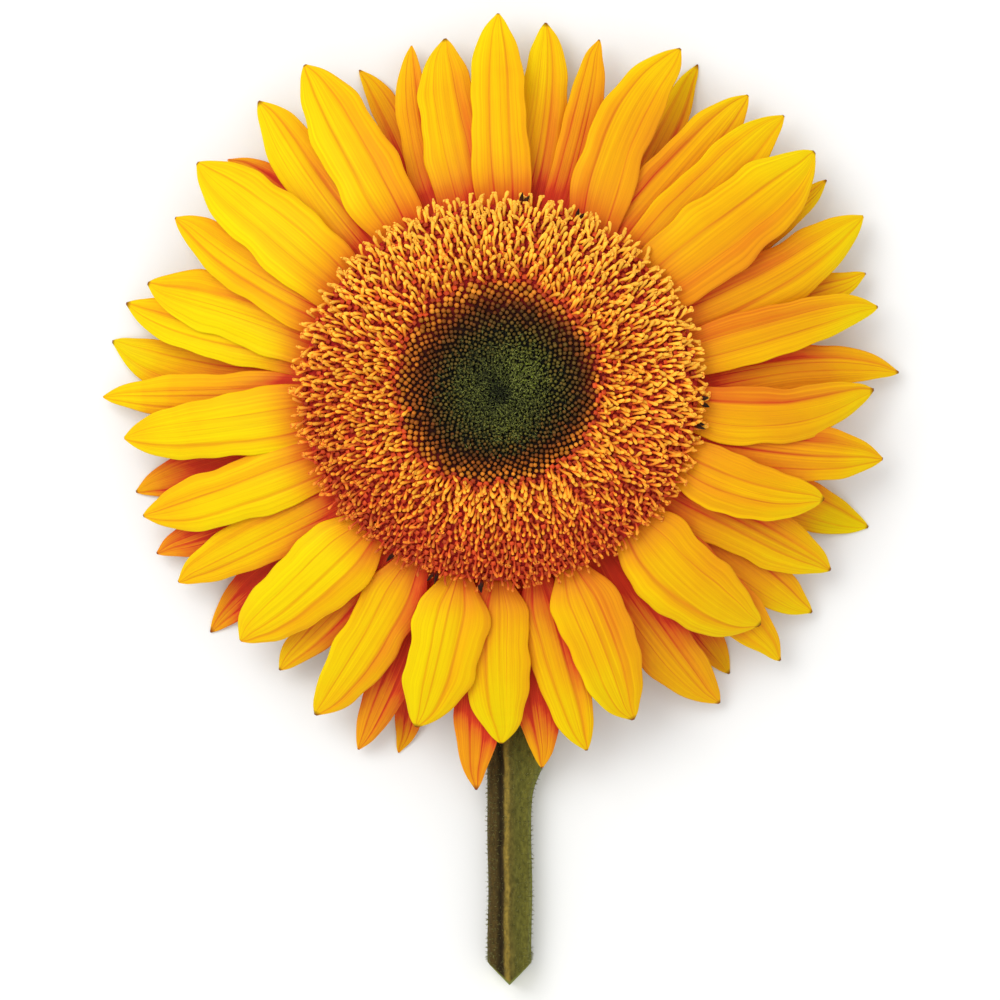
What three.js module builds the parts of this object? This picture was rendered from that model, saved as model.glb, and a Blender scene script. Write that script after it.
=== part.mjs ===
// Cut sunflower: one large flower head on a short cut stem, lying face up on a table.
// Units are millimetres and +Z is up. The head faces +Z, the stem lies along -Y on the table
// and its neck bends up into the back of the head. While it is built, the head axis is the Z
// axis; at the end the whole flower is moved so that its origin is the centre of its bottom.
import * as THREE from 'three';

// Driving dimensions
const STEM_RADIUS = 5.6;
const STEM_AXIS_X = 2.4; // the stem lies a little to one side of the head axis
const STEM_END_Y = -148.5; // point of the cut end
const STEM_CUT_SLOPE = 1.0; // the end is cut to a V, one millimetre back per millimetre sideways
const STEM_SIDES = 12;
const STEM_RIB = 0.3; // height of the ribs along the stem
const LEAF_SCAR_Y = -88; // swelling where a leaf was taken off
const LEAF_SCAR_HEIGHT = 3.4;
const LEAF_SCAR_LENGTH = 7;
const NECK_BEND_RADIUS = 12;
const NECK_TOP_RADIUS = 8;
const NECK_BEND_STEPS = 4;

const RIM_RADIUS = 46.3; // wall of the receptacle that carries the petals
const RIM_TOP_Z = 30.6;
const FIT_GAP = 0.3; // gap between pieces that touch
const DISC_BOTTOM_Z = RIM_TOP_Z + FIT_GAP;
const DISC_ROUND_STEPS = 40;
const DISC_STRETCH_X = 1.04; // the face of the disc is slightly wider than it is high
const DISC_STRETCH_Y = 0.99;
const NECK_TOP_Z = STEM_RADIUS + NECK_BEND_RADIUS;

// Outlines turned round the head axis: radius and height of each corner, from the inside out
const RECEPTACLE_OUTLINE = [
  [0, NECK_TOP_Z + FIT_GAP],
  [9, NECK_TOP_Z + FIT_GAP],
  [34, NECK_TOP_Z + 0.2],
  [41, 19.3],
  [RIM_RADIUS, 22],
  [RIM_RADIUS, RIM_TOP_Z],
  [0, RIM_TOP_Z],
];
const OPEN_FLORETS_OUTLINE = [
  [34.6, DISC_BOTTOM_Z],
  [46, DISC_BOTTOM_Z],
  [49, 33],
  [50, 36],
  [48, 38.6],
  [43, 39.4],
  [36, 38],
  [34.6, 36.8],
  [34.6, DISC_BOTTOM_Z],
];
const BUDDING_FLORETS_OUTLINE = [
  [24.6, DISC_BOTTOM_Z],
  [34.3, DISC_BOTTOM_Z],
  [34.3, 36.6],
  [29, 36.2],
  [24.6, 35.4],
  [24.6, DISC_BOTTOM_Z],
];
const CLOSED_FLORETS_OUTLINE = [
  [0, DISC_BOTTOM_Z],
  [24.3, DISC_BOTTOM_Z],
  [24.3, 35.2],
  [12, 34.6],
  [0, 34.3],
];

const PETAL_BASE_RADIUS = RIM_RADIUS + 0.5;
const PETAL_MIDDLE_RADIUS = 75;
const PETAL_LOWEST_Z = 23.4; // underside of the lowest layer at the rim
const PETAL_LAYER_STEP = 1.45;
const PETAL_THICKNESS = 0.7;
const PETAL_TIP_HEIGHTS = [0, 3.5, 7, 10, 13.5]; // underside of the tip for each layer
const PETAL_RISES = [0.8, 1.2, 1.8, 2.4, 3]; // arch of each layer above a straight fall
const PETAL_CUPS = [0.5, 0.4, 0.2, -0.3, -0.5]; // edges turned up or, below zero, down
const PETAL_BASE_SHARES = [1, 1, 0.95, 0.86, 0.74]; // upper layers narrow more towards the rim
const PETAL_BASE_LENGTH = 0.4; // share of the length over which they do so
const PETAL_FALL_POWER = 1.6; // above 1 a petal leaves the rim level and falls faster further out
const PETAL_TIP_THINNING = 0.3; // share of the thickness lost by the tip

// Position along a petal from rim to tip, and its width there as a share of the full width
const PETAL_OUTLINE = [
  [0.00, 0.84],
  [0.18, 0.94],
  [0.38, 1.00],
  [0.56, 0.99],
  [0.74, 0.87],
  [0.88, 0.58],
  [0.96, 0.27],
  [1.00, 0.04],
];
const PETAL_ACROSS = [-0.5, -0.25, 0, 0.25, 0.5];

// One row for each petal, counterclockwise from +X: angle at the rim, angle halfway, angle of
// the tip (degrees), reach of the tip from the head axis, full width, layer (0 is the lowest),
// and the height of the tip where it isn't the usual one for that layer.
const PETALS = [
  [355, 356, 361.1, 93.7, 14, 4],
  [362.5, 365, 363.3, 100.5, 11, 1],
  [11, 13, 13.3, 97.3, 12.5, 3],
  [17, 17.5, 17.7, 96.8, 11, 0, 6],
  [21.5, 22.5, 26.3, 101.6, 15.5, 2],
  [31, 31.5, 32.9, 98.1, 9, 0, 6],
  [35, 36, 37, 99.4, 20, 4],
  [43.5, 44.5, 44.7, 99.7, 14, 3],
  [52, 51, 50.5, 97.5, 14, 2],
  [56, 57.5, 59.4, 96.8, 9, 0],
  [61, 65, 62.2, 97.7, 15, 3],
  [72, 73.5, 74.8, 92.4, 9, 1, 7],
  [82.5, 81.5, 82.8, 94, 12.5, 0, 5],
  [89, 90.4, 90.6, 95.4, 14, 3],
  [99.5, 100.3, 99.2, 90.3, 15, 2],
  [108, 107, 104.4, 90.4, 9, 1],
  [112, 111.5, 113.1, 89, 8.5, 0],
  [121.5, 121, 120.4, 95.8, 17, 4],
  [133, 131, 129.2, 95.3, 14, 2],
  [137.5, 137.5, 138.8, 90.5, 11, 0],
  [146, 143.5, 143.1, 95.4, 18, 4],
  [156, 153.5, 151.2, 92.7, 13, 3],
  [163.5, 162.5, 163.1, 92.8, 16, 2],
  [167, 168, 166.6, 96.8, 13, 1],
  [177, 176.5, 172.7, 98.6, 15, 0],
  [180.5, 180.5, 180.3, 99.9, 11, 1],
  [186, 187, 186.6, 95, 15.5, 3],
  [195, 194.5, 194.8, 95, 12, 0],
  [201, 200.5, 199.1, 94.7, 15, 3],
  [206, 206, 204.5, 95.3, 12, 1],
  [213.5, 211, 209.9, 93.7, 13, 2],
  [219, 218, 219.3, 94.5, 11, 0],
  [226, 224.5, 223.1, 89.9, 18.5, 4],
  [234.5, 232.5, 231, 88.9, 11, 2],
  [243, 242, 240.4, 93.1, 15, 3],
  [249.5, 249, 248.5, 96.4, 11, 1],
  [254, 254, 254.7, 94, 9, 0],
  [257.5, 257.5, 256.3, 86.1, 18, 4, 20],
  [266, 266, 266.1, 99.6, 12, 1, 13.2],
  [269, 269.5, 270.8, 87.7, 16.7, 3, 18.5],
  [276.5, 277, 276.8, 94.5, 12, 0, 12.6],
  [281.5, 282.5, 283.3, 92.1, 13, 2, 15.5],
  [292, 292, 291.7, 88.3, 17, 4, 18],
  [302.5, 303, 304.9, 95.5, 15.5, 1],
  [309.5, 310, 309.6, 91.2, 11, 0],
  [315.5, 315.2, 317.7, 87.3, 20, 4, 16],
  [317, 317.5, 316.9, 97.3, 13, 2],
  [325, 325, 324.5, 95.9, 13.5, 1],
  [331, 331.5, 332.2, 94.2, 15, 2],
  [340, 340, 339.8, 98.7, 13, 0],
  [340, 339.5, 342.3, 85.3, 14.5, 4, 20],
  [347, 348.5, 350.6, 97.5, 15, 3],
];

const WHORL_LOBES = 18;
const WHORL_STEPS_PER_LOBE = 4;
const WHORL_THICKNESS = 0.9;
const BRACT_SHARPNESS = 1.5; // 1 gives straight-sided bracts, more gives slimmer points
// Radii of each whorl's inner edge, of its notches and of its points, the heights of its top
// there, and its turn as a share of one bract
const INNER_WHORL = {
  inner: 43.4,
  notch: 52,
  point: 62,
  innerZ: 19.7,
  rimZ: 20.1,
  pointZ: 14.5,
  turn: 0,
};
const OUTER_WHORL = {
  inner: 34,
  notch: 47,
  point: 58,
  innerZ: 17.1,
  rimZ: 17.3,
  pointZ: 12.6,
  turn: 0.5,
};

const yellow = new THREE.MeshStandardMaterial({ color: 0xfccf1c, roughness: 0.6, metalness: 0 });
const orange = new THREE.MeshStandardMaterial({ color: 0xe88a26, roughness: 0.6, metalness: 0 });
const floretOrange = new THREE.MeshStandardMaterial({ color: 0xc66a25, roughness: 0.8, metalness: 0 });
const floretBrown = new THREE.MeshStandardMaterial({ color: 0x6d381a, roughness: 0.85, metalness: 0 });
const floretGreen = new THREE.MeshStandardMaterial({ color: 0x3a381b, roughness: 0.8, metalness: 0 });
const stemGreen = new THREE.MeshStandardMaterial({ color: 0x5f5b26, roughness: 0.8, metalness: 0 });
const bractGreen = new THREE.MeshStandardMaterial({ color: 0x4c5a24, roughness: 0.8, metalness: 0 });

/** Point at a radius and an angle round the head axis, at a height. */
function polar(radius, angle, z) {
  return new THREE.Vector3(radius * Math.cos(angle), radius * Math.sin(angle), z);
}

/** Geometry from points and triangles, turned so that its faces point outwards. */
function closedGeometry(points, triangles) {
  let volume = 0;
  for (const [a, b, c] of triangles) {
    volume += points[a].dot(new THREE.Vector3().crossVectors(points[b], points[c])) / 6;
  }
  const outward = volume > 0 ? triangles : triangles.map(([a, b, c]) => [a, c, b]);
  const geometry = new THREE.BufferGeometry();
  geometry.setFromPoints(points);
  geometry.setIndex(outward.flat());
  const faceted = geometry.toNonIndexed();
  faceted.computeVertexNormals();
  return faceted;
}

/** Two triangles for each cell between rings of equal size; the last ring may join the first. */
function ringWalls(ringCount, ringSize, joined) {
  const triangles = [];
  const bands = joined ? ringCount : ringCount - 1;
  for (let ring = 0; ring < bands; ring += 1) {
    const next = (ring + 1) % ringCount;
    for (let side = 0; side < ringSize; side += 1) {
      const a = ring * ringSize + side;
      const b = ring * ringSize + ((side + 1) % ringSize);
      const c = next * ringSize + ((side + 1) % ringSize);
      const d = next * ringSize + side;
      triangles.push([a, b, c], [a, c, d]);
    }
  }
  return triangles;
}

/** Closed body through a row of rings, with a fan from a centre point over each end. */
function closedLoft(rings, startCentre, endCentre) {
  const size = rings[0].length;
  const points = rings.flat();
  const triangles = ringWalls(rings.length, size, false);
  const start = points.length;
  const end = start + 1;
  const lastRing = (rings.length - 1) * size;
  points.push(startCentre, endCentre);
  for (let side = 0; side < size; side += 1) {
    const next = (side + 1) % size;
    triangles.push([start, next, side]);
    triangles.push([end, lastRing + side, lastRing + next]);
  }
  return closedGeometry(points, triangles);
}

/** Value at x of the parabola through three points. */
function parabolaThrough(x, [x0, y0], [x1, y1], [x2, y2]) {
  const first = (y0 * (x - x1) * (x - x2)) / ((x0 - x1) * (x0 - x2));
  const second = (y1 * (x - x0) * (x - x2)) / ((x1 - x0) * (x1 - x2));
  const third = (y2 * (x - x0) * (x - x1)) / ((x2 - x0) * (x2 - x1));
  return first + second + third;
}

/** Ray petal: a thin strip that leaves the rim level, widens, arches over and falls to its tip. */
function petalGeometry([baseAngle, middleAngle, tipAngle, reach, width, layer, tipZ]) {
  const tipHeight = tipZ ?? PETAL_TIP_HEIGHTS[layer];
  const restsOnTable = tipHeight === 0;
  const baseHeight = PETAL_LOWEST_Z + layer * PETAL_LAYER_STEP;
  const rings = PETAL_OUTLINE.map(([along, share]) => {
    const radius = PETAL_BASE_RADIUS + along * (reach - PETAL_BASE_RADIUS);
    const angle = THREE.MathUtils.degToRad(parabolaThrough(
      radius,
      [PETAL_BASE_RADIUS, baseAngle],
      [PETAL_MIDDLE_RADIUS, middleAngle],
      [reach, tipAngle],
    ));
    const fall = restsOnTable ? along * along * (3 - 2 * along) : along ** PETAL_FALL_POWER;
    const arch = PETAL_RISES[layer] * 4 * along * (1 - along);
    const height = baseHeight + (tipHeight - baseHeight) * fall + arch;
    const cup = PETAL_CUPS[layer] * Math.sin(Math.PI * along);
    const towardsRim = Math.max(0, 1 - along / PETAL_BASE_LENGTH);
    const narrowing = 1 - (1 - PETAL_BASE_SHARES[layer]) * towardsRim ** 2;
    const thickness = PETAL_THICKNESS * (1 - PETAL_TIP_THINNING * along);
    const skin = (lift) => PETAL_ACROSS.map((across) => {
      const turned = angle + (across * width * share * narrowing) / radius;
      return polar(radius, turned, height + cup * 4 * across * across + lift);
    });
    return [...skin(0), ...skin(thickness).reverse()];
  });
  const centre = (ring) => {
    const sum = new THREE.Vector3();
    ring.forEach((point) => sum.add(point));
    return sum.divideScalar(ring.length);
  };
  return closedLoft(rings, centre(rings[0]), centre(rings.at(-1)));
}

/** Ring of pointed bracts joined at their bases: a thin toothed collar that slopes outwards. */
function whorlGeometry({ inner, notch, point, innerZ, rimZ, pointZ, turn }) {
  const steps = WHORL_LOBES * WHORL_STEPS_PER_LOBE;
  const sections = [];
  for (let step = 0; step < steps; step += 1) {
    const angle = ((step / WHORL_STEPS_PER_LOBE + turn) / WHORL_LOBES) * 2 * Math.PI;
    const lobe = Math.abs(((step % WHORL_STEPS_PER_LOBE) / WHORL_STEPS_PER_LOBE) * 2 - 1);
    const outer = notch + (point - notch) * lobe ** BRACT_SHARPNESS;
    const outerZ = rimZ + (pointZ - rimZ) * ((outer - inner) / (point - inner)) ** BRACT_SHARPNESS;
    const middle = (inner + notch) / 2;
    const top = [[inner, innerZ], [middle, rimZ], [outer, outerZ]];
    const bottom = top.map(([radius, z]) => [radius, z - WHORL_THICKNESS]).reverse();
    sections.push([...top, ...bottom].map(([radius, z]) => polar(radius, angle, z)));
  }
  return closedGeometry(sections.flat(), ringWalls(sections.length, sections[0].length, true));
}

/** Part of the flower's disc: an outline of radius and height turned round the head axis. */
function turnedGeometry(outline) {
  const geometry = new THREE.LatheGeometry(
    outline.map(([radius, z]) => new THREE.Vector2(radius, z)),
    DISC_ROUND_STEPS,
  );
  geometry.rotateX(Math.PI / 2);
  return geometry;
}

/** Ring across the stem: round, with low ribs, and swollen on +X near the leaf scar. */
function stemRing(centre, radius, tilt) {
  const ring = [];
  const scar = LEAF_SCAR_HEIGHT * Math.exp(-(((centre.y - LEAF_SCAR_Y) / LEAF_SCAR_LENGTH) ** 2));
  for (let side = 0; side < STEM_SIDES; side += 1) {
    const angle = (side / STEM_SIDES) * 2 * Math.PI;
    const rib = side % 2 === 1 ? 0 : -STEM_RIB;
    const swelling = scar * Math.max(0, Math.cos(angle)) ** 2;
    const across = (radius + rib + swelling) * Math.cos(angle);
    const up = (radius + rib) * Math.sin(angle);
    const offset = new THREE.Vector3(across, -up * Math.sin(tilt), up * Math.cos(tilt));
    ring.push(centre.clone().add(offset));
  }
  return ring;
}

/** Stem: along the table from its V cut, then bent a quarter turn up at the neck. */
function stemGeometry() {
  const lyingStations = [-142, -120, -102, -95, -88, -81, -74, -50, -30, -NECK_BEND_RADIUS];
  const axisX = (y) => STEM_AXIS_X * THREE.MathUtils.smoothstep(-y, NECK_BEND_RADIUS, -LEAF_SCAR_Y);
  const rings = [];
  const cutRing = stemRing(new THREE.Vector3(STEM_AXIS_X, STEM_END_Y, STEM_RADIUS), STEM_RADIUS, 0);
  cutRing.forEach((point) => {
    point.y += STEM_CUT_SLOPE * Math.abs(point.x - STEM_AXIS_X);
  });
  rings.push(cutRing);
  for (const y of lyingStations) {
    rings.push(stemRing(new THREE.Vector3(axisX(y), y, STEM_RADIUS), STEM_RADIUS, 0));
  }
  for (let step = 1; step <= NECK_BEND_STEPS; step += 1) {
    const share = step / NECK_BEND_STEPS;
    const tilt = (share * Math.PI) / 2;
    const centre = new THREE.Vector3(
      0,
      -NECK_BEND_RADIUS * (1 - Math.sin(tilt)),
      STEM_RADIUS + NECK_BEND_RADIUS * (1 - Math.cos(tilt)),
    );
    rings.push(stemRing(centre, STEM_RADIUS + (NECK_TOP_RADIUS - STEM_RADIUS) * share ** 2, tilt));
  }
  const neckTop = new THREE.Vector3(0, 0, NECK_TOP_Z);
  return closedLoft(rings, new THREE.Vector3(STEM_AXIS_X, STEM_END_Y, STEM_RADIUS), neckTop);
}

const flower = new THREE.Group();

/** Adds one named piece to the flower. */
function addPiece(name, geometry, material) {
  const piece = new THREE.Mesh(geometry, material);
  piece.name = name;
  flower.add(piece);
  return piece;
}

PETALS.forEach((petal, index) => {
  const layer = petal[5];
  const name = `ray_petal_${String(index + 1).padStart(2, '0')}`;
  addPiece(name, petalGeometry(petal), layer < 2 ? orange : yellow);
});

addPiece('stem', stemGeometry(), stemGreen);
addPiece('bracts_inner_whorl', whorlGeometry(INNER_WHORL), bractGreen);
addPiece('bracts_outer_whorl', whorlGeometry(OUTER_WHORL), bractGreen);

addPiece('receptacle', turnedGeometry(RECEPTACLE_OUTLINE), bractGreen);

const disc = [
  addPiece('disc_open_florets', turnedGeometry(OPEN_FLORETS_OUTLINE), floretOrange),
  addPiece('disc_budding_florets', turnedGeometry(BUDDING_FLORETS_OUTLINE), floretBrown),
  addPiece('disc_closed_florets', turnedGeometry(CLOSED_FLORETS_OUTLINE), floretGreen),
];
disc.forEach((ring) => ring.scale.set(DISC_STRETCH_X, DISC_STRETCH_Y, 1));

// The origin is the centre of the bottom of the whole flower.
const bounds = new THREE.Box3().setFromObject(flower);
const middle = bounds.getCenter(new THREE.Vector3());
flower.position.set(-middle.x, -middle.y, -bounds.min.z);

export default flower;
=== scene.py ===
"""Cut sunflower lying face up on a pale table: the finished surfaces and materials."""

import math

import bpy
import numpy as np
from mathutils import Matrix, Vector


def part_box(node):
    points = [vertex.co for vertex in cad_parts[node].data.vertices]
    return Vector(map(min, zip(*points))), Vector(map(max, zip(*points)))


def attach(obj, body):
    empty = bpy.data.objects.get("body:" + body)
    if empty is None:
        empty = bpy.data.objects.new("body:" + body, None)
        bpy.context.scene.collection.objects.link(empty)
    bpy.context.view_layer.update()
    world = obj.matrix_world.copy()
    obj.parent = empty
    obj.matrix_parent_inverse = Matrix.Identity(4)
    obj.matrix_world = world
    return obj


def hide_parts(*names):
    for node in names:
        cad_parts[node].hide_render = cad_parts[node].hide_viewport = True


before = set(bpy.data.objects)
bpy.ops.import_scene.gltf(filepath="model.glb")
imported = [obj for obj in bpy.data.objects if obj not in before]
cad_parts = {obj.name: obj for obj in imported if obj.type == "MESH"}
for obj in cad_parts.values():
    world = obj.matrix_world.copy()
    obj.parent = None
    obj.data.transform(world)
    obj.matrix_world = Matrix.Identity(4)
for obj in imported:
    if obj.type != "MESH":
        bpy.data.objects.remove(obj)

MM = 0.001
TURN = 2 * math.pi
GOLDEN_ANGLE = TURN * (1 - 2 / (1 + math.sqrt(5)))
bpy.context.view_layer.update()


# ---------------------------------------------------------------- places read from the frame

def box_mm(node):
    """Lowest and highest corners of a CAD node in millimetres."""
    low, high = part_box(node)
    return np.array(low) / MM, np.array(high) / MM


def node_points_mm(node):
    """Corner points of a CAD node in millimetres, each point once."""
    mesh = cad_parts[node].data
    flat = np.empty(len(mesh.vertices) * 3)
    mesh.vertices.foreach_get("co", flat)
    return np.unique(np.round(flat.reshape(-1, 3) / MM, 3), axis=0)


disc_low, disc_high = box_mm("disc_open_florets")
receptacle_low, receptacle_high = box_mm("receptacle")
HEAD = (disc_low + disc_high)[:2] / 2  # the head's axis, seen from above
DISC_HALF = (disc_high - disc_low)[:2] / 2  # half the disc's width and height
DISC_RADIUS = DISC_HALF.mean()
RIM_RADIUS = (receptacle_high - receptacle_low)[0] / 2

stem_points = node_points_mm("stem")
stem_start = stem_points[stem_points[:, 1] < stem_points[:, 1].min() + 0.5]
STEM_TIP = stem_start.mean(axis=0)  # the point of the V cut, on the stem's axis
STEM_RADIUS = STEM_TIP[2]
NECK_TOP_Z = box_mm("stem")[1][2]
NECK_BEND = NECK_TOP_Z - STEM_RADIUS

petal_names = sorted(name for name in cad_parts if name.startswith("ray_petal_"))


def to_row(radius, angle, height):
    """Points in millimetres in the row frame from cylinder coordinates about the head's axis."""
    x = HEAD[0] + radius * np.cos(angle)
    y = HEAD[1] + radius * np.sin(angle)
    return np.stack(np.broadcast_arrays(x, y, height), axis=-1)


def on_disc(share, angle, height):
    """Points at a share of the disc's half width and half height, an angle and a height."""
    x = HEAD[0] + DISC_HALF[0] * share * np.cos(angle)
    y = HEAD[1] + DISC_HALF[1] * share * np.sin(angle)
    return np.stack(np.broadcast_arrays(x, y, height), axis=-1)


# ---------------------------------------------------------------- mesh building

def smooth_through(x, known_x, known_y):
    """Smooth curve through known points: a cubic between each two points, whose slope at a point
    is that of the line from the point before it to the point after it."""
    known_x = np.asarray(known_x, float)
    known_y = np.asarray(known_y, float)
    slope = np.gradient(known_y, known_x)
    place = np.clip(np.searchsorted(known_x, x) - 1, 0, len(known_x) - 2)
    span = known_x[place + 1] - known_x[place]
    t = (x - known_x[place]) / span
    return (
        (2 * t**3 - 3 * t**2 + 1) * known_y[place]
        + (t**3 - 2 * t**2 + t) * span * slope[place]
        + (3 * t**2 - 2 * t**3) * known_y[place + 1]
        + (t**3 - t**2) * span * slope[place + 1]
    )


def ease(x, low, high):
    """Smooth step from 0 at low to 1 at high."""
    t = np.clip((x - low) / (high - low), 0, 1)
    return t * t * (3 - 2 * t)


def bell(x, width):
    """Bell curve: 1 at 0, falling by the exponential of the square of x over its width."""
    return np.exp(-((x / width) ** 2))


def unit(vectors):
    """Vectors of length 1 along the last axis."""
    return vectors / np.linalg.norm(vectors, axis=-1, keepdims=True)


def tube_faces(rings, sides):
    """Faces of a closed tube: quads between its rings and a fan of triangles round a pole at each
    end. Points come ring by ring, then the first pole, then the last."""
    ring, side = np.meshgrid(np.arange(rings - 1), np.arange(sides), indexing="ij")
    after = (side + 1) % sides
    corners = [ring * sides + side, ring * sides + after]
    corners += [(ring + 1) * sides + after, (ring + 1) * sides + side]
    quads = np.stack(corners, axis=-1).reshape(-1, 4)
    here = np.arange(sides)
    after = (here + 1) % sides
    first_pole = np.full(sides, rings * sides)
    last = (rings - 1) * sides
    first = np.stack([first_pole, after, here], axis=-1)
    end = np.stack([first_pole + 1, last + here, last + after], axis=-1)
    return quads, np.concatenate([first, end])


def tube_points(rings, first_pole, last_pole):
    """Points of a closed tube from its rings, an array of ring by side by 3, and its two poles."""
    return np.concatenate([rings.reshape(-1, 3), [first_pole], [last_pole]])


def sheet(upper, thickness):
    """Closed sheet from the grid of its upper surface. The lower surface lies under it by the
    thickness, and the two are joined round the edge. Gives points and faces."""
    lower = upper.copy()
    lower[..., 2] -= thickness
    rings = np.concatenate([upper, lower[:, ::-1]], axis=1)
    points = tube_points(rings, rings[0].mean(axis=0), rings[-1].mean(axis=0))
    return points, tube_faces(*rings.shape[:2])


def on_sheet(upper, lower, ends):
    """Numbers for a sheet's points, from grids for its two surfaces and a number for each pole."""
    return np.concatenate([np.concatenate([upper, lower[:, ::-1]], axis=1).ravel(), ends])


def turned_shape(profile, sides):
    """Closed shape from a profile of (radius, height) turned round +Z. Gives its points, faces and
    each point's place along the profile from 0 to 1."""
    radius, height = np.array(profile, float).T
    angle = np.arange(sides) / sides * TURN
    around = (radius[:, None] * np.cos(angle), radius[:, None] * np.sin(angle), height[:, None])
    rings = np.stack(np.broadcast_arrays(*around), axis=-1)
    points = tube_points(rings, (0, 0, height[0]), (0, 0, height[-1]))
    along = np.concatenate([np.repeat(np.linspace(0, 1, len(radius)), sides), [0, 1]])
    return points, tube_faces(len(radius), sides), along


def tubes(centres, sideways, girths, outline):
    """Many closed tubes at once. centres holds the points of each tube's centre line, girths the
    radius at each of them, and outline the share of the radius at each side of a ring. A ring
    stands square to the line; sideways is a direction across each line's bend. Each end is
    closed by a pole half a radius further on. Gives points, faces, place along, tube number."""
    slope = unit(np.gradient(centres, axis=1))
    front = unit(np.cross(sideways[:, None], slope))
    beside = np.cross(slope, front)
    outline = np.asarray(outline, float)
    angle = np.arange(len(outline)) / len(outline) * TURN
    spoke = (
        (outline * np.cos(angle))[:, None] * front[:, :, None]
        + (outline * np.sin(angle))[:, None] * beside[:, :, None]
    )
    rings = centres[:, :, None] + girths[:, :, None, None] * spoke
    first = centres[:, :1] - slope[:, :1] * girths[:, :1, None] / 2
    last = centres[:, -1:] + slope[:, -1:] * girths[:, -1:, None] / 2
    count, steps = centres.shape[:2]
    points = np.concatenate([rings.reshape(count, -1, 3), first, last], axis=1)
    quads, triangles = tube_faces(steps, len(outline))
    shift = (np.arange(count) * points.shape[1])[:, None, None]
    faces = ((quads + shift).reshape(-1, 4), (triangles + shift).reshape(-1, 3))
    along = np.concatenate([np.repeat(np.linspace(0, 1, steps), len(outline)), [0, 1]])
    number = np.repeat(np.arange(count), points.shape[1])
    return points.reshape(-1, 3), faces, np.tile(along, count), number


def signed_volume(points, quads, triangles):
    """Six times the volume inside the faces, negative if they point inwards."""
    split = np.concatenate([quads[:, [0, 1, 2]], quads[:, [0, 2, 3]], triangles])
    a, b, c = points[split[:, 0]], points[split[:, 1]], points[split[:, 2]]
    return np.einsum("ij,ij->", a, np.cross(b, c))


def add_piece(name, points, faces, material, stands_for, attributes):
    """Adds a piece from points in millimetres and its quads and triangles. Attributes are numbers
    per point that the material reads. The piece rides on the flower's one body and may stand for
    CAD nodes."""
    quads, triangles = faces
    if signed_volume(points - points.mean(axis=0), quads, triangles) < 0:
        quads, triangles = quads[:, ::-1], triangles[:, ::-1]
    mesh = bpy.data.meshes.new(name)
    mesh.vertices.add(len(points))
    mesh.vertices.foreach_set("co", (points * MM).astype(np.float32).ravel())
    loops = np.concatenate([quads.ravel(), triangles.ravel()]).astype(np.int32)
    mesh.loops.add(len(loops))
    mesh.loops.foreach_set("vertex_index", loops)
    triangle_starts = quads.size + np.arange(len(triangles)) * 3
    starts = np.concatenate([np.arange(len(quads)) * 4, triangle_starts]).astype(np.int32)
    mesh.polygons.add(len(starts))
    mesh.polygons.foreach_set("loop_start", starts)
    mesh.update(calc_edges=True)
    mesh.polygons.foreach_set("use_smooth", np.ones(len(starts), bool))
    for key, values in attributes.items():
        layer = mesh.attributes.new(key, "FLOAT", "POINT")
        layer.data.foreach_set("value", np.asarray(values, np.float32).ravel())
    mesh.materials.append(material)
    piece = bpy.data.objects.new(name, mesh)
    bpy.context.scene.collection.objects.link(piece)
    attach(piece, "root")
    if stands_for:
        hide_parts(*stands_for)


# ---------------------------------------------------------------- materials

def linear(hex_colour):
    """sRGB hex to the linear colour that shaders work in."""
    channels = [int(hex_colour[i : i + 2], 16) / 255 for i in (1, 3, 5)]
    straight = [c / 12.92 if c <= 0.04045 else ((c + 0.055) / 1.055) ** 2.4 for c in channels]
    return (*straight, 1.0)


def add_node(tree, kind, inputs=None, stops=None, out=0, **settings):
    """Adds a shader node and gives its output of that name or number. inputs gives sockets, by
    name or number, a value or another node's output; stops are the (place, hex colour) pairs of a
    colour ramp; the rest are the node's settings."""
    node = tree.nodes.new("ShaderNode" + kind)
    for key, value in settings.items():
        setattr(node, key, value)
    for key, value in (inputs or {}).items():
        if isinstance(value, bpy.types.NodeSocket):
            tree.links.new(value, node.inputs[key])
        else:
            node.inputs[key].default_value = value
    if stops:
        elements = node.color_ramp.elements
        while len(elements) < len(stops):
            elements.new(0.5)
        for element, (place, colour) in zip(elements, stops):
            element.position = place
            element.color = linear(colour)
    return node.outputs[out] if node.outputs else None


def new_material(name, attributes=()):
    """Empty material, its node tree, and the output of a node for each attribute that it reads."""
    material = bpy.data.materials.new(name)
    material.use_nodes = True
    tree = material.node_tree
    tree.nodes.clear()
    read = [add_node(tree, "Attribute", out="Fac", attribute_name=key) for key in attributes]
    return material, tree, *read


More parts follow.
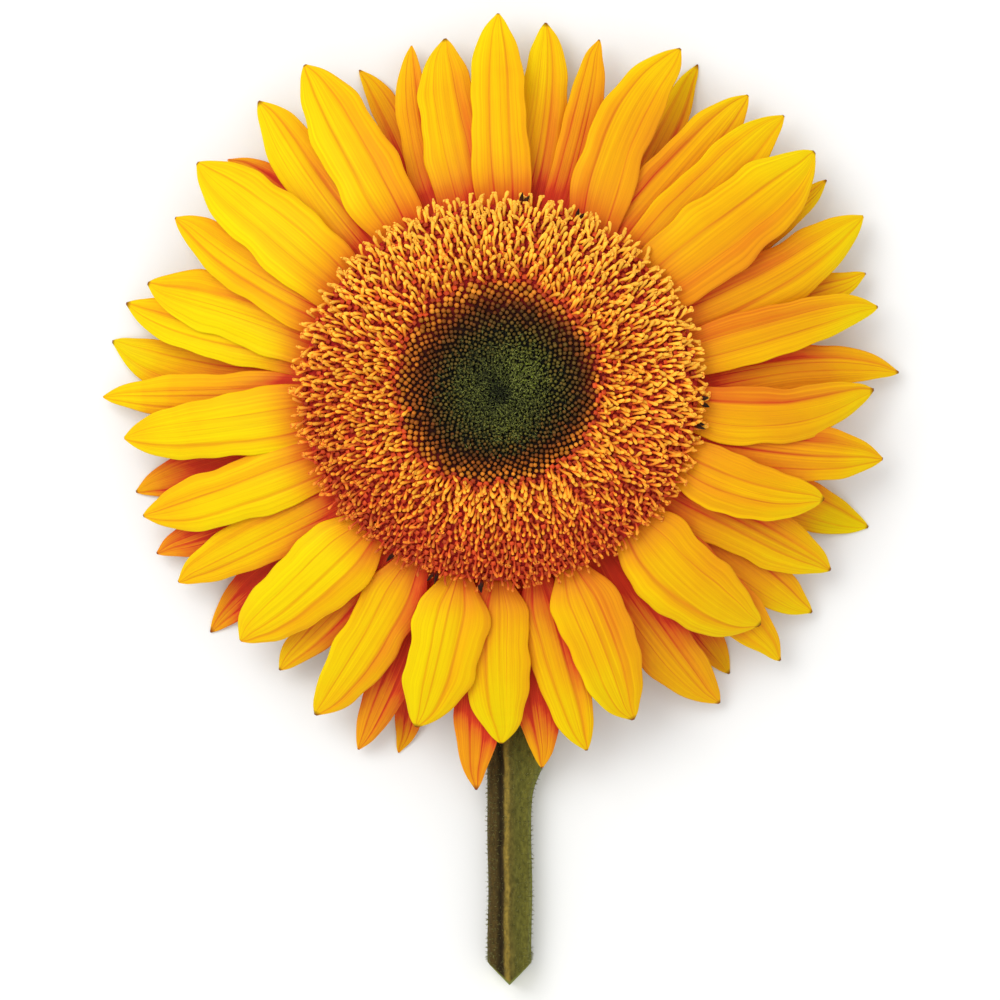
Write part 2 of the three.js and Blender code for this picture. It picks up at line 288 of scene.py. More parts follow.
def petal_material():
    """Living ray petal: thin, satin and translucent. Its warmth runs from pure yellow at 0 through
    orange to crimson at 1 and carries painted shade as well as the petal's own colour, with fine
    veins along it, painted shade in its creases and a dried brown speck at its tip."""
    material, tree, along, across, warmth, tone, *creases = new_material(
        "ray_petal_tissue", ("along", "across", "warmth", "tone", *CREASES)
    )
    # Veins stand about 0.4 mm apart, some 35 across a petal, and run its whole length.
    vein_place = add_node(tree, "CombineXYZ", {"X": across, "Y": along, "Z": tone})
    stretched = add_node(tree, "Mapping", {"Vector": vein_place, "Scale": (17, 0.9, 40)})
    veins = add_node(
        tree, "TexNoise", {"Vector": stretched, "Scale": 1.0, "Detail": 4.0, "Roughness": 0.6}
    )
    # Soft patches, about 8 mm wide, where the yellow is a little deeper.
    spot = add_node(tree, "TexCoord", out="Object")
    patches = add_node(tree, "TexNoise", {"Vector": spot, "Scale": 1 / (16 * MM), "Detail": 2.0})
    patch_shift = add_node(tree, "MapRange", {"Value": patches, "To Min": -0.14, "To Max": 0.14})
    vein_shift = add_node(tree, "MapRange", {"Value": veins, "To Min": 0.2, "To Max": -0.2})
    place = add_node(tree, "Math", {0: patch_shift, 1: vein_shift}, operation="ADD")
    place = add_node(tree, "Math", {0: warmth, 1: place}, operation="ADD")
    # Painted shade in the creases: warmer and darker lines about 0.5 mm wide.
    lines = 0.0
    for crease in creases:
        gap = add_node(tree, "Math", {0: crease}, operation="ABSOLUTE")
        line = add_node(
            tree,
            "MapRange",
            {"Value": gap, "From Min": 0.05, "From Max": 0.75, "To Min": 0.22, "To Max": 0.0},
        )
        place = add_node(tree, "Math", {0: place, 1: line}, operation="ADD")
        lines = add_node(tree, "Math", {0: lines, 1: line}, operation="ADD")
    ground = add_node(tree, "ValToRGB", {"Fac": place}, stops=[
        (0.0, "#FBE400"), (0.14, "#FCD902"), (0.28, "#FDC806"), (0.42, "#FBB50E"),
        (0.55, "#F9A618"), (0.68, "#F28E1A"), (0.8, "#F07C20"), (0.9, "#EE6022"), (1.0, "#E03E22"),
    ])
    light = add_node(tree, "MapRange", {"Value": veins, "To Min": 0.8, "To Max": 1.15})
    # Painted shade darkens the creases.
    light = add_node(tree, "Math", {0: lines, 1: -0.3, 2: light}, operation="MULTIPLY_ADD")
    veined = add_node(tree, "VectorMath", {0: ground, "Scale": light}, operation="SCALE")
    tip_start = add_node(tree, "MapRange", {"Value": tone, "To Min": 1.0, "To Max": 0.972})
    tip = add_node(tree, "MapRange", {"Value": along, "From Min": tip_start, "From Max": 1.0})
    colour = add_node(
        tree, "Mix", {0: tip, 6: veined, 7: linear("#7A2A10")}, out=2, data_type="RGBA"
    )
    bump = add_node(tree, "Bump", {"Strength": 0.3, "Distance": 0.12 * MM, "Height": veins})
    skin = add_node(
        tree,
        "BsdfPrincipled",
        {"Base Color": colour, "Roughness": 0.5, "Specular IOR Level": 0.09, "Normal": bump},
    )
    through = add_node(tree, "BsdfTranslucent", {"Color": colour, "Normal": bump})
    mixed = add_node(tree, "MixShader", {0: 0.25, 1: skin, 2: through})
    add_node(tree, "OutputMaterial", {"Surface": mixed})
    return material


def gradient_material(name, stops, roughness, variation, patch_mm=6.0, bump_mm=0.0):
    """Plant tissue coloured by the point's place along its piece, from a ramp. Pieces vary in
    brightness one by one, soft patches shift the place along the ramp, and fine grains, a few to
    the millimetre, may roughen it."""
    material, tree, along, tone = new_material(name, ("along", "tone"))
    spot = add_node(tree, "TexCoord", out="Object")
    patches = add_node(
        tree, "TexNoise", {"Vector": spot, "Scale": 1 / (patch_mm * MM), "Detail": 3.0}
    )
    shift = add_node(tree, "MapRange", {"Value": patches, "To Min": -0.12, "To Max": 0.12})
    place = add_node(tree, "Math", {0: along, 1: shift}, operation="ADD")
    ramp = add_node(tree, "ValToRGB", {"Fac": place}, stops=stops)
    light = add_node(
        tree, "MapRange", {"Value": tone, "To Min": 1 - variation, "To Max": 1 + variation}
    )
    colour = add_node(tree, "VectorMath", {0: ramp, "Scale": light}, operation="SCALE")
    finish = {"Base Color": colour, "Roughness": roughness, "Specular IOR Level": 0.2}
    if bump_mm:
        grains = add_node(tree, "TexNoise", {"Vector": spot, "Scale": 1 / (0.4 * MM)})
        finish["Normal"] = add_node(
            tree, "Bump", {"Strength": 1.0, "Distance": bump_mm * MM, "Height": grains}
        )
    add_node(tree, "OutputMaterial", {"Surface": add_node(tree, "BsdfPrincipled", finish)})
    return material


def closed_floret_material():
    """Closed floret: its top takes its colour from how ripe it is, from black-green in the middle
    of the disc to orange-brown where the florets are about to open; painted shade darkens it down
    to nearly black at its foot."""
    material, tree, along, tone, ripeness, moss = new_material(
        "closed_floret_tissue", ("along", "tone", "ripeness", "moss")
    )
    top = add_node(tree, "ValToRGB", {"Fac": ripeness}, stops=[
        (0.0, "#20241A"), (0.15, "#3A3E1E"), (0.3, "#585626"), (0.45, "#5C4E22"),
        (0.6, "#62431C"), (0.7, "#743E18"), (0.8, "#94501A"), (0.9, "#BC6C1E"), (1.0, "#D88A2A"),
    ])
    green = add_node(tree, "Mix", {0: moss, 6: top, 7: linear("#7A8A22")}, out=2, data_type="RGBA")
    # Painted shade: each floret darker down its sides to its foot, among its neighbours.
    painted_foot_shade = add_node(
        tree, "MapRange", {"Value": along, "From Min": 0.2, "From Max": 0.8, "To Min": 0.35}
    )
    tone_light = add_node(tree, "MapRange", {"Value": tone, "To Min": 0.65, "To Max": 1.35})
    light = add_node(tree, "Math", {0: painted_foot_shade, 1: tone_light}, operation="MULTIPLY")
    colour = add_node(tree, "VectorMath", {0: green, "Scale": light}, operation="SCALE")
    finish = {"Base Color": colour, "Roughness": 0.55, "Specular IOR Level": 0.15}
    add_node(tree, "OutputMaterial", {"Surface": add_node(tree, "BsdfPrincipled", finish)})
    return material


def stem_material():
    """Green stem with a darker brown flank on one side, painted shade in a groove and a pale brown
    ridge beside it, felted with short hairs that mottle it; its cut end shows pale pith."""
    material, tree, turn, pith = new_material("stem_bark_tissue", ("turn", "pith"))
    spot = add_node(tree, "TexCoord", out="Object")
    # Felt of hairs: flecks 0.5 mm wide and about 1 mm long, along the stem.
    stretched = add_node(tree, "Mapping", {"Vector": spot, "Scale": (2.0, 0.9, 2.0)})
    felt = add_node(
        tree,
        "TexNoise",
        {"Vector": stretched, "Scale": 1 / (1.7 * MM), "Detail": 5.0, "Roughness": 0.7},
    )
    patches = add_node(tree, "TexNoise", {"Vector": spot, "Scale": 1 / (5 * MM), "Detail": 2.0})
    shift = add_node(tree, "MapRange", {"Value": patches, "To Min": -0.02, "To Max": 0.02})
    place = add_node(tree, "Math", {0: turn, 1: shift}, operation="ADD")
    # Bark colour round the stem: painted shade darkens the groove, near 0.3 of the turn.
    bark = add_node(tree, "ValToRGB", {"Fac": place}, stops=[
        (0.0, "#777931"), (0.1, "#6A6627"), (0.2, "#5B5722"), (0.245, "#605524"), (0.262, "#8A7531"),
        (0.282, "#836E2D"), (0.30, "#3E3118"), (0.325, "#271E0B"), (0.36, "#483916"),
        (0.44, "#4F3E1A"), (0.55, "#574D20"), (0.8, "#5F5D26"), (1.0, "#777931"),
    ])
    fleck = add_node(
        tree,
        "MapRange",
        {"Value": felt, "From Min": 0.3, "From Max": 0.7, "To Min": 0.5, "To Max": 1.4},
    )
    mottled = add_node(tree, "VectorMath", {0: bark, "Scale": fleck}, operation="SCALE")
    cut = add_node(tree, "ValToRGB", {"Fac": pith}, stops=[
        (0.0, "#6A7034"), (0.12, "#8A9048"), (0.2, "#C8CC90"), (0.5, "#E2E2BC"), (1.0, "#EDEBD0"),
    ])
    on_cut = add_node(tree, "MapRange", {"Value": pith, "From Min": 0.001, "From Max": 0.02})
    colour = add_node(tree, "Mix", {0: on_cut, 6: mottled, 7: cut}, out=2, data_type="RGBA")
    bump = add_node(tree, "Bump", {"Strength": 0.8, "Distance": 0.3 * MM, "Height": felt})
    skin = add_node(
        tree,
        "BsdfPrincipled",
        {"Base Color": colour, "Roughness": 0.8, "Specular IOR Level": 0.12, "Normal": bump},
    )
    add_node(tree, "OutputMaterial", {"Surface": skin})
    return material


# ---------------------------------------------------------------- ray petals

PETAL_STEPS_ALONG = 60
PETAL_STEPS_ACROSS = 41
PETAL_THICKNESS = 0.3
CREASES = ("crease_low", "crease_high", "crease_middle")
NO_CREASE = 9  # a distance that is far from any crease
# Petals with one margin folded, which shows as a warm band of painted shade: number, the side of
# the fold counted counterclockwise, and its strength.
FOLDED_MARGINS = {
    1: (1, 0.6), 3: (1, 0.5), 5: (1, 0.4), 9: (1, 0.7), 11: (1, 0.5), 15: (-1, 0.6), 16: (-1, 0.8),
    17: (1, 0.9), 22: (1, 0.5), 30: (-1, 0.4), 35: (1, 0.5), 42: (1, 0.8), 44: (1, 0.5), 52: (1, 0.6),
}
# Petals that lie in shade among their neighbours, painted warmer as shade, and by how much.
SHADED_PETALS = {
    12: 0.12, 16: 0.12, 17: 0.14, 20: 0.3, 28: 0.38, 30: 0.4, 32: 0.42, 36: 0.28, 37: 0.42,
    39: 0.54, 41: 0.42, 44: 0.08, 45: 0.14,
}


def petal_stations(node):
    """Cross-sections of a CAD petal from rim to tip. A section's points lie at one radius from
    the head's axis. Gives its radius, middle angle, half angle and the height of its middle."""
    points = node_points_mm(node)
    offset = points[:, :2] - HEAD
    radius = np.hypot(*offset.T)
    order = np.argsort(radius)
    breaks = np.flatnonzero(np.diff(radius[order]) > 0.4) + 1
    rows = []
    for group in np.split(order, breaks):
        heading = np.arctan2(*offset[group].mean(axis=0)[::-1])
        angle = np.arctan2(offset[group][:, 1], offset[group][:, 0])
        turned = (angle - heading + math.pi) % TURN - math.pi
        middle = (turned.max() + turned.min()) / 2
        half = (turned.max() - turned.min()) / 2
        near_middle = np.abs(turned - middle) < half * 0.2
        height = points[group][near_middle][:, 2].max()
        rows.append((radius[group].max(), heading + middle, half, height))
    stations = np.array(rows).T
    stations[1] = np.unwrap(stations[1])
    return stations


def petal_surface(node, number):
    """Upper surface of a petal as a grid of points, along by across, with the warmth of painted
    shade that its own shape, its folded margin and its place among the others give each point.

    Along it, the middle line and the width run smoothly through the CAD sections. Across it, two
    creases run from base to tip where the place across is that of a crease; between them the
    height rises as the absolute sine of the place, so that the creases are sharp and the panels
    round. The outer panels bend down by the square of the distance outside the crease, one margin
    may fold further, and the margins wave as two sines of the place along."""
    draw = np.random.default_rng(100 + number)
    radius, heading, half, height = petal_stations(node)
    share = (radius - radius[0]) / (radius[-1] - radius[0])
    along = 1 - (1 - np.linspace(0, 1, PETAL_STEPS_ALONG)) ** 1.2
    along = along[:, None]
    across = np.linspace(-1, 1, PETAL_STEPS_ACROSS)[None, :]
    reach = radius[0] + along * (radius[-1] - radius[0])
    middle = smooth_through(along, share, heading)
    half_width = np.maximum(smooth_through(along, share, half * radius), 0.1)
    # Petals are wide at the base all round, but those above the stem narrow towards it.
    narrowed = 0.6 * max(0, -math.sin(heading[0])) ** 3
    half_width = half_width * (1 + 0.22 * (1 - ease(along, 0, 0.5)))
    half_width = half_width * (1 - narrowed * (1 - ease(along, -0.06, 0.24)))
    full = half_width.max()
    lift = smooth_through(along, share, height)

    ripple = 0.045 * np.sin(TURN * (draw.uniform(1.2, 3.0) * along + draw.random(2)[:, None, None]))
    fine = 0.02 * np.sin(TURN * (5.3 * along + 0.4 * number)) * np.sign(across) * ease(along, 0.1, 0.4)
    outline = 1 + (np.where(across < 0, ripple[0], ripple[1]) + fine) * np.abs(across)
    hook = draw.choice([-1, 1]) * draw.uniform(0.2, 0.9)
    sideways = across * half_width * outline + hook * ease(along, 0.86, 1.0) ** 2

    body = np.sin(math.pi * np.clip(along * 0.84 + 0.1, 0, 1)) ** 0.6
    wander = 0.05 * np.sin(TURN * (along * 0.7 + draw.random()))
    crease_low = -0.38 + draw.uniform(-0.14, 0.14)
    crease_high = 0.38 + draw.uniform(-0.14, 0.14)
    crease_middle = draw.uniform(-0.12, 0.12)
    strength = [draw.uniform(0.1, 1.1), draw.uniform(0.1, 1.1), draw.uniform(-1.0, 0.9)]
    panel = (across - wander - crease_low) / (crease_high - crease_low)
    pillow = np.abs(np.sin(math.pi * panel)) * draw.uniform(0.08, 0.2) * (full / 7)
    # A crease spreads its distance where it fades.
    creases = [
        (across - wander - place) * half_width / np.maximum(depth * body, 0.06)
        for place, depth in zip((crease_low, crease_high, crease_middle), strength)
    ]
    near_crease = sum(bell(crease, 0.4) for crease in creases)
    outside = np.maximum(np.abs(across - wander) - 0.4, 0)
    droop = -outside**2 * full * draw.uniform(0.05, 0.3)

    fold_side, fold = FOLDED_MARGINS.get(number + 1, (draw.choice([-1, 1]), draw.uniform(0, 0.3)))
    # Strength of the warm band of painted shade on the folded margin.
    folded = fold * ease(across * fold_side, 0.38, 0.55) * body * (1 - 0.8 * ease(along, 0.4, 0.85))
    fold_rise = fold * ease(across * fold_side, 0.4, 0.75) * body

    arch = draw.uniform(-0.10, 0.04) * full * across**2 * np.sin(math.pi * along)
    tilt = draw.uniform(-0.06, 0.06) * sideways * along
    waves = np.sin(TURN * (along * draw.uniform(1.0, 1.8) + draw.random(2)[:, None, None]))
    wave = 0.3 * across**2 * np.where(across < 0, waves[0], waves[1]) * np.sin(math.pi * along)
    change = (pillow + droop - 0.12 * near_crease) * body + fold_rise + arch + tilt + wave
    # The base stays where it joins the rim, and the tip where it rests.
    surface_z = lift + change * ease(along, 0, 0.12) * (1 - ease(along, 0.92, 1.0))
    points = to_row(reach, middle + sideways / reach, surface_z)

    # Painted shade: a soft shade beyond the crease on the folded side, and a warm band on the margin.
    shade_place = crease_high if fold_side > 0 else crease_low
    soft_shade = bell(across - wander - shade_place - 0.1 * fold_side, 0.16)
    # Painted shade on one half of each petal, the half that its heading turns from the light.
    shaded_side = -1 if math.sin(heading[0] - math.radians(32)) > 0 else 1
    own_painted_shade = (0.14 * soft_shade + 0.11 * shaded_side * across) * body + 0.24 * folded
    # Petals that lie in shade among their neighbours get more painted shade.
    own_painted_shade = own_painted_shade + SHADED_PETALS.get(number + 1, 0) * (1.15 - 0.3 * along)
    return points, own_painted_shade, along, across, creases


COVER_CELL = 1.0
COVER_MARGIN = 12  # millimetres kept free round the petals, further than the look-out reaches
LOOK_OUT = ((1.5, 0.3), (3.0, 0.3), (5.0, 0.25), (8.0, 0.15))  # distance and its weight


def cover_over(surfaces):
    """How much each point of each surface lies close under others, from 0 to 1, which sets the
    painted shade under petals. The heights of all the surfaces go into square cells, keeping the
    highest in each; for each point, the rise from it to cells in 16 directions at several
    distances is compared with the distance."""
    everything = np.concatenate([points.reshape(-1, 3) for points in surfaces])
    corner = everything[:, :2].min(axis=0) - COVER_MARGIN
    span = everything[:, :2].max(axis=0) + COVER_MARGIN - corner
    highest = np.zeros(np.ceil(span / COVER_CELL).astype(int))
    place = ((everything[:, :2] - corner) / COVER_CELL).astype(int)
    np.maximum.at(highest, tuple(place.T), everything[:, 2])
    angle = np.arange(16) / 16 * TURN
    covers = []
    for points in surfaces:
        cover = 0
        for distance, weight in LOOK_OUT:
            offset = distance * np.stack([np.cos(angle), np.sin(angle)], axis=-1)
            around = ((points[..., None, :2] + offset - corner) / COVER_CELL).astype(int)
            rise = highest[around[..., 0], around[..., 1]] - points[..., 2, None] - 0.6
            cover = cover + weight * np.clip(rise / (0.5 * distance), 0, 1).mean(axis=-1)
        covers.append(cover)
    return covers


def petal_warmth(points, own, cover, along, layer, draw):
    """Warmth of each point of a petal: more at the base, partly the petal's own orange and partly
    painted shade under the disc's florets; painted shade on the +X side, on the lower petals and
    wherever other petals lie close above; and less towards the tip."""
    east, north = ((points[..., :2] - HEAD) / 75).transpose(2, 0, 1)
    from_rim = np.hypot(east, north) * 75 - RIM_RADIUS
    # Painted shade on the +X side, away from the light.
    side = 0.19 + 0.19 * east + 0.06 * north
    # Weight of the painted shade, greater towards -Y and a little towards -X.
    shaded = 0.9 - 0.22 * east - 0.45 * north
    # Warmer at the base: partly the petal's own orange, partly painted shade under the disc's florets.
    base = (0.55 - 0.34 * east) * (1.15 - 0.4 * layer) * bell(from_rim, 8)
    base = base + 0.12 * bell(from_rim, 22)
    # Painted shade on the lower petals.
    depth = (1 - layer) * (0.03 + 0.15 * (1 - along) ** 1.2) * shaded
    tip = -(0.17 + 0.15 * east) * ease(along, 0.45, 1.0)
    # Painted shade wherever other petals lie close above.
    under = 0.62 * shaded * cover
    return np.clip(side + base + depth + tip + own + under + draw.uniform(-0.05, 0.05), -0.12, 1)


def add_petals(material):
    """One piece for each ray petal: a thin sheet under its upper surface."""
    heights = {name: box_mm(name)[1][2] for name in petal_names}
    lowest = min(heights.values())
    highest = max(heights.values())
    surfaces = [petal_surface(name, number) for number, name in enumerate(petal_names)]
    covers = cover_over([surface[0] for surface in surfaces])
    for number, name in enumerate(petal_names):
        draw = np.random.default_rng(500 + number)
        top, own, along, across, creases = surfaces[number]
        layer = (heights[name] - lowest) / (highest - lowest)
        warmth = petal_warmth(top, own, covers[number], along, layer, draw)
        edge = 1 - np.abs(across) ** 6 * 0.7
        points, faces = sheet(top, PETAL_THICKNESS * edge * (1 - 0.4 * along))
        along, across = np.broadcast_arrays(along, across)
        attributes = {
            "along": on_sheet(along, along, [0, 1]),
            "across": on_sheet(across, across, [0, 0]),
            "warmth": on_sheet(warmth, 0.5 * warmth, [1, 0.5]),  # the underside is yellower
            "tone": np.full(len(points), draw.random()),
        }
        for key, crease in zip(CREASES, creases):
            attributes[key] = on_sheet(crease, crease, [NO_CREASE] * 2)
        add_piece(f"{name}_blade", points, faces, material, [name], attributes)


# ---------------------------------------------------------------- disc florets

# How far the dark closed florets and, outside them, the round buds reach, in millimetres from the
# head's axis, at every 45 degrees counterclockwise from +X. Outside the buds the florets are open.
DARK_REACH = (22.0, 22.5, 21.5, 20.0, 18.5, 20.0, 16.5, 18.5)
BUD_REACH = (24.0, 25.0, 27.0, 26.5, 25.0, 24.5, 22.0, 22.5)
# Spacing of the florets in millimetres by share of the disc's radius.
SPACING = np.array([
    (0.0, 0.85), (0.15, 1.0), (0.35, 1.25), (0.48, 1.5), (0.6, 1.7), (0.8, 1.74), (1.0, 1.65),
])
# Depth of the ground that the florets stand on, below the disc's top, by share of the disc.
GROUND = np.array([
    (0.0, 6.6), (0.1, 6.3), (0.25, 5.7), (0.45, 5.0), (0.65, 4.1), (0.78, 4.0), (0.87, 5.2), (0.94, 7.4),
])
DISC_EDGE = 0.94
RIM_CHAFF_ANGLES = (83.4, 67, -2.3, -9.7, 237.6, 251.3, 264.5)  # where dry chaff shows
# Brighter, mossy patches of the dark florets: place from the head's axis, radius and strength.
MOSS_PATCHES = ((5.5, 7.0, 6.0, 0.4), (2.5, -9.0, 5.0, 0.3), (-7.0, -1.0, 6.0, 0.2), (8.0, 1.0, 6.0, 0.25))


def ground_height(share):
    """Height in millimetres of the ground under the florets at a share of the disc's radius."""
    return disc_high[2] - smooth_through(np.minimum(share, DISC_EDGE), *GROUND.T)


def spacing_at(share):
    """Spacing of the florets in millimetres at a share of the disc's radius."""
    return np.interp(share, *SPACING.T)


def reach_at(angle, reaches):
    """Reach in millimetres at an angle, smoothly through reaches given at equal steps of angle."""
    steps = np.arange(-2, len(reaches) + 3)
    return smooth_through(
        np.mod(angle, TURN), steps * TURN / len(reaches), np.take(reaches, steps, mode="wrap")
    )


def floret_places():
    """Share of the disc's radius and angle of every floret, on golden-angle spirals. The share
    comes from the number of florets inside it, so that their spacing follows SPACING."""
    share = np.linspace(0, DISC_EDGE, 4000)
    radius = share * DISC_RADIUS
    per_ring = TURN * radius / (spacing_at(share) ** 2 * math.sqrt(3) / 2)
    inside = np.concatenate([[0], np.cumsum((per_ring[1:] + per_ring[:-1]) / 2 * np.diff(radius))])
    number = np.arange(int(inside[-1])) + 0.5
    return np.interp(number, inside, share), np.mod(number * GOLDEN_ANGLE, TURN)


def directions(heading, lean):
    """Three directions for pieces that stand on the disc: outwards and down, sideways, and along
    the piece, which leans outwards from +Z by an angle."""
    out = np.stack([np.cos(heading), np.sin(heading), 0 * heading], axis=-1)
    up = np.array([0.0, 0.0, 1.0])
    rise = up * np.cos(lean)[:, None] + out * np.sin(lean)[:, None]
    outward = out * np.cos(lean)[:, None] - up * np.sin(lean)[:, None]
    return outward, np.cross(rise, outward), rise


def bent_lines(starts, ways, lengths, bends, steps):
    """Points of centre lines that leave their starts along their last way. At a share of the length
    a line has moved sideways by its two bends times the length times the share squared."""
    outward, sideways, rise = ways
    share = np.linspace(0, 1, steps)[None, :, None]
    curve = bends[0][:, None, None] * outward[:, None] + bends[1][:, None, None] * sideways[:, None]
    return starts[:, None] + lengths[:, None, None] * (share * rise[:, None] + share**2 * curve)


def add_tubes(name, tube_set, material, slot, draw, stands_for=(), shift=0.0, **more):
    """Adds tubes as one piece; each tube has its own random tone, and more holds further numbers
    for each tube. The shift of a tube moves its colours along it towards those of its end."""
    points, faces, along, number = tube_set
    along = along + np.broadcast_to(shift, number[-1] + 1)[number]
    attributes = {"along": along, "tone": draw.random(number[-1] + 1)[number]}
    attributes.update({key: values[number] for key, values in more.items()})
    add_piece(name, points, faces, material, stands_for, attributes)


def disc_feet():
    """Foot of every floret with its angle, share of the disc and distance from the axis."""
    draw = np.random.default_rng(7)
    scatter = 0.16  # millimetres
    share, angle = floret_places()
    angle = angle + draw.normal(0, scatter, len(share)) / np.maximum(share * DISC_RADIUS, 2)
    share = share + draw.normal(0, scatter, len(share)) / DISC_RADIUS * (1 - share)
    foot = on_disc(share, angle, ground_height(share))
    return foot, angle, share, np.hypot(*(foot[:, :2] - HEAD).T)


def add_disc_ground(material):
    """Ground of the disc: its profile turned round the head's axis and stretched to the disc."""
    profile = [(RIM_RADIUS, disc_low[2]), (DISC_RADIUS * (DISC_EDGE + 0.005), disc_low[2] + 0.4)]
    for share in np.linspace(0.01, DISC_EDGE, 24)[::-1]:
        profile.append((DISC_RADIUS * share, float(ground_height(share))))
    points, faces, along = turned_shape(profile, 96)
    points = points * [*DISC_HALF / DISC_RADIUS, 1] + [*HEAD, 0]
    attributes = {"along": along, "tone": np.full(len(points), 0.5)}
    add_piece(
        "disc_ground", points, faces, material, ["disc_budding_florets"], attributes
    )


def moss_at(foot):
    """Strength of the mossy patches at feet of florets: a sum of round bells."""
    offset = foot[:, :2] - HEAD
    return sum(
        strength * np.exp(-((offset[:, 0] - x) ** 2 + (offset[:, 1] - y) ** 2) / size**2)
        for x, y, size, strength in MOSS_PATCHES
    )


def add_closed_florets(foot, angle, share, distance, ripeness):
    """Closed florets: short round-topped tubes. In the middle of the disc they are slimmer and
    lean inwards, among narrow chaff tips."""
    draw = np.random.default_rng(11)
    count = len(foot)
    middle = 1 - ease(distance, 5, 15)
    lean = np.radians(-50 * middle + 14 * ease(share, 0.3, 0.55) + draw.normal(0, 7, count))
    heading = angle + draw.normal(0, 0.35, count) * (0.3 + middle)
    length = np.interp(share, [0, 0.12, 0.3, 0.55], [1.0, 1.1, 1.3, 1.9]) * draw.normal(1, 0.1, count)
    girth = spacing_at(share) * np.interp(share, [0, 0.15, 0.35, 0.5], [0.28, 0.33, 0.42, 0.46])
    girth = girth * draw.normal(1, 0.07, count)
    ways = directions(heading, lean)
    lines = bent_lines(foot, ways, length, (0.15 * middle, 0 * lean), 6)
    profile = np.array([0.85, 0.95, 1.0, 0.98, 0.8, 0.42])
    moss = np.clip(moss_at(foot) * draw.uniform(0.3, 1.3, count), 0, 1)
    ripeness = np.clip(ripeness + draw.normal(0, 0.04, count), 0, 1)
    florets = tubes(lines, ways[1], girth[:, None] * profile, np.ones(6))
    add_tubes(
        "closed_florets", florets, closed_floret_material(), "floret_green", draw,
        ["disc_closed_florets"], ripeness=ripeness, moss=moss,
    )


def add_chaff(foot, angle, share, distance):
    """Chaff: narrow dry tips that stand every way between the florets of the dark middle and
    cover them. Around its very centre they lean inwards over a hollow."""
    draw = np.random.default_rng(13)
    count = len(foot)
    aside = draw.normal(0, 0.4, (count, 2)) * spacing_at(share)[:, None]
    start = foot + np.concatenate([aside, np.full((count, 1), 0.3)], axis=1)
    heading = angle + math.pi + draw.normal(0, 1.1, count) * ease(distance, 0, 6)
    lean = np.radians(draw.uniform(15, 75, count))
    length = draw.uniform(1.0, 2.1, count) * (0.7 + 0.3 * ease(distance, 2, 8))
    ways = directions(heading, lean)
    bends = (draw.uniform(0, 0.4, count), draw.normal(0, 0.2, count))
    lines = bent_lines(start, ways, length, bends, 4)
    girth = 0.12 * draw.uniform(0.7, 1.3, count)[:, None] * np.array([1.0, 1.0, 0.8, 0.3])
    shift = 0.7 * moss_at(foot) - 0.16 - 0.5 * (1 - ease(distance, 0.5, 5)) + draw.normal(0, 0.1, count)
    stops = [(0.0, "#10120A"), (0.35, "#282C16"), (0.65, "#484A22"), (0.85, "#6E7434"), (1.0, "#929848")]
    material = gradient_material("chaff_tissue", stops, 0.6, 0.6, 4.0)
    chaff = tubes(lines, ways[1], girth, np.ones(3))
    add_tubes("chaff_tips", chaff, material, "floret_green", draw, shift=shift)


def add_corollas(foot, angle, lean, draw):
    """Corolla tubes of the open florets: short crimson tubes that flare to five lobes."""
    count = len(foot)
    ways = directions(angle, lean * 0.6)
    lines = bent_lines(foot, ways, draw.uniform(0.7, 1.1, count), (0 * lean, 0 * lean), 4)
    girth = draw.uniform(0.85, 1.05, count)[:, None] * np.array([0.5, 0.6, 0.9, 0.6])
    lobes = np.where(np.arange(10) % 2, 0.8, 1.05)
    stops = [(0.0, "#A8241A"), (0.35, "#C0361C"), (0.65, "#CC481E"), (0.9, "#CC5220"), (1.0, "#C0421C")]
    material = gradient_material("corolla_tissue", stops, 0.55, 0.35)
    corollas = tubes(lines, ways[1], girth, lobes)
    add_tubes("corolla_tubes", corollas, material, "floret_orange", draw)


def ripe_and_lit_side(angle, share):
    """How much more ripe and how well lit open florets are, up to 1 at the rim near +Y and down to -1
    at the rim opposite: the cosine of the angle from the ripest place. Their rods are a little
    thicker where it is high, and their colours move to yellow as painted light there and to red as
    painted shade opposite."""
    return np.cos(angle - math.radians(76)) * ease(share, 0.5, 0.9)


